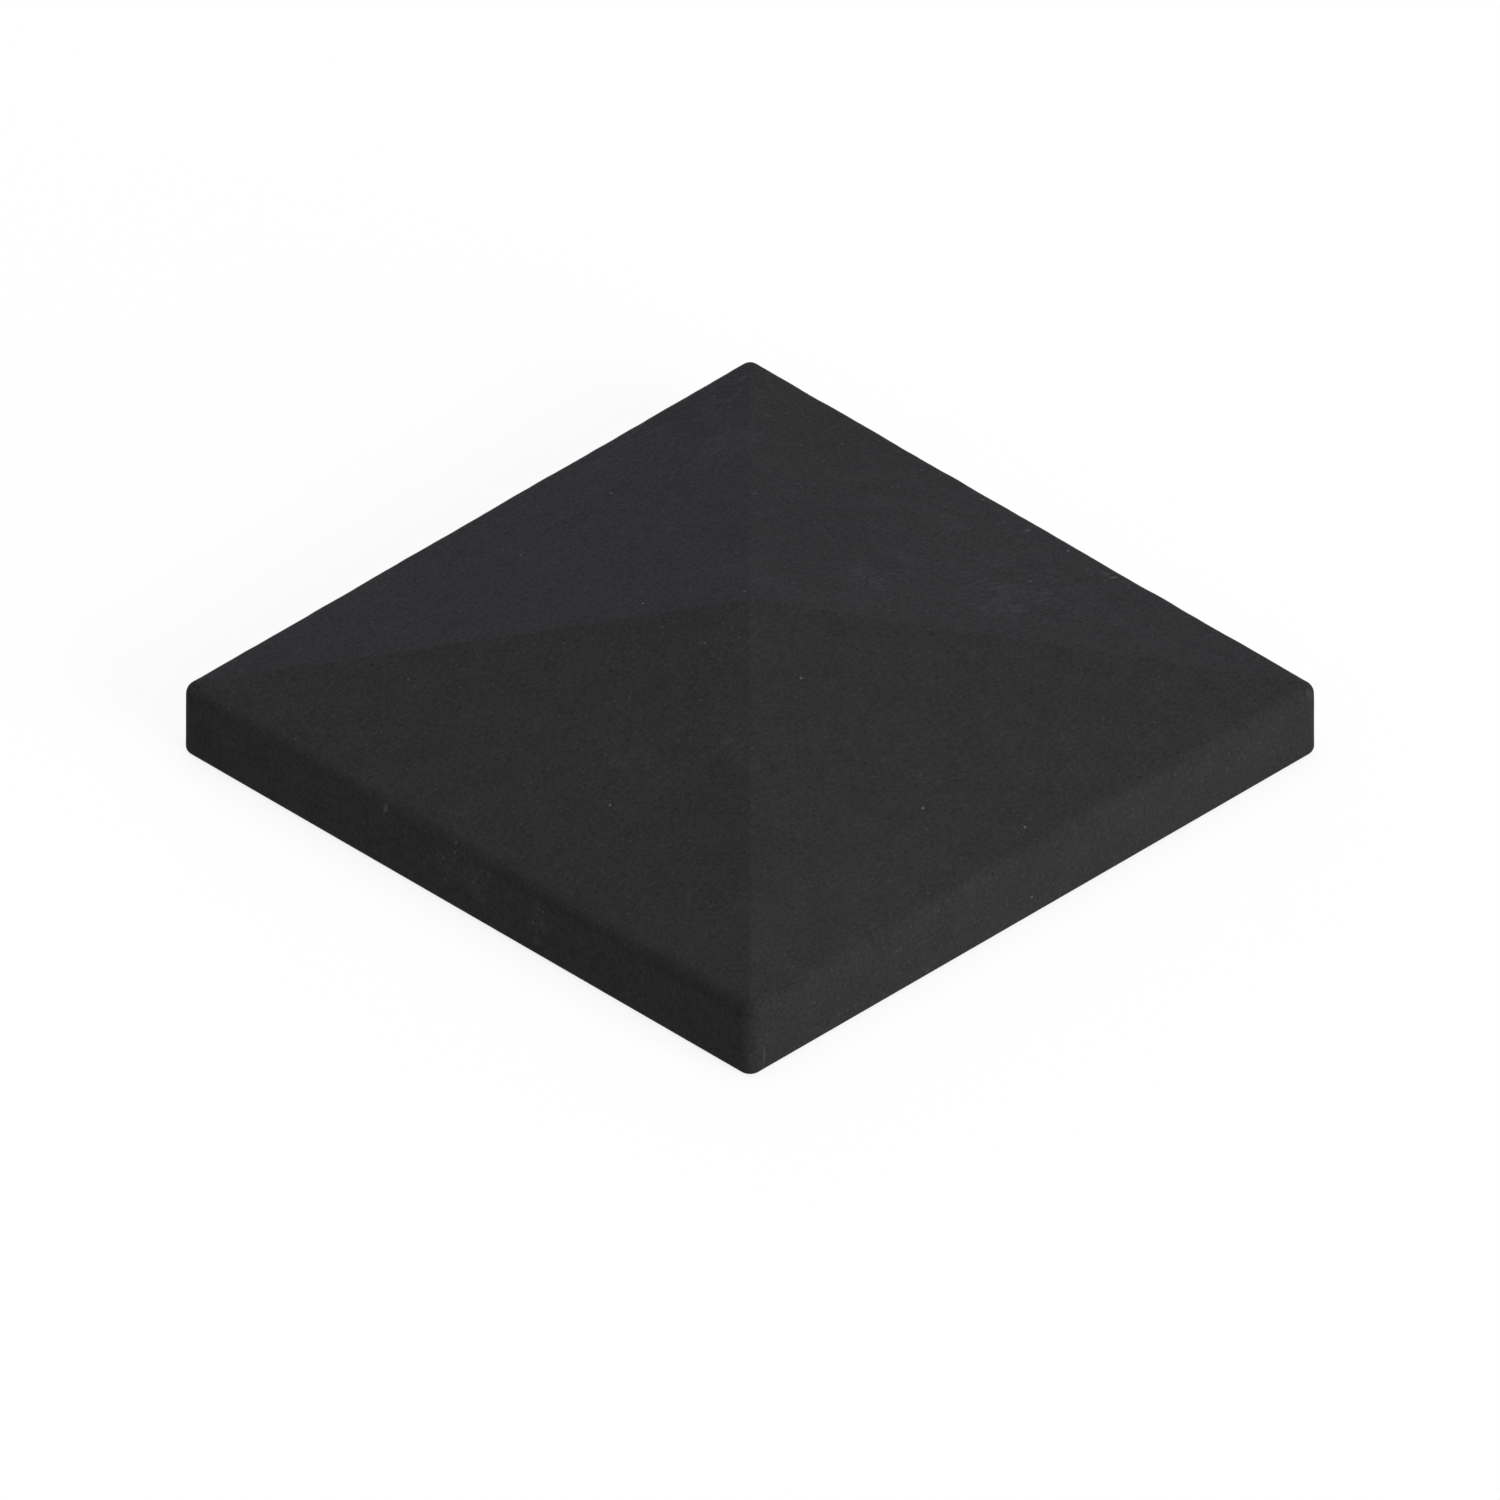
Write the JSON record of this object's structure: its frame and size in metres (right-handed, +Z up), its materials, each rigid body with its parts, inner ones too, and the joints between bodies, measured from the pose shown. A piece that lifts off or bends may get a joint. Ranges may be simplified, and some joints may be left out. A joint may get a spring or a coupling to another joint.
{
  "type": "post cap",
  "caption": "Square pyramid cap of cast dark concrete with rounded edges, an upright rim and a drip groove underneath, bedded on top of a square post or pillar.",
  "frame": {"origin": "middle of the bed, the flat underside that lies on the post", "axes": "+Z up through the peak; +X and +Y square to the faces of the rim"},
  "size_m": [0.3, 0.3, 0.0688],
  "materials": {
    "dark_concrete": "smooth cast face, matte, through-coloured, with fine sand grain"
  },
  "bodies": {
    "root": {"pyramid_cap": "dark_concrete"}
  },
  "joints": []
}
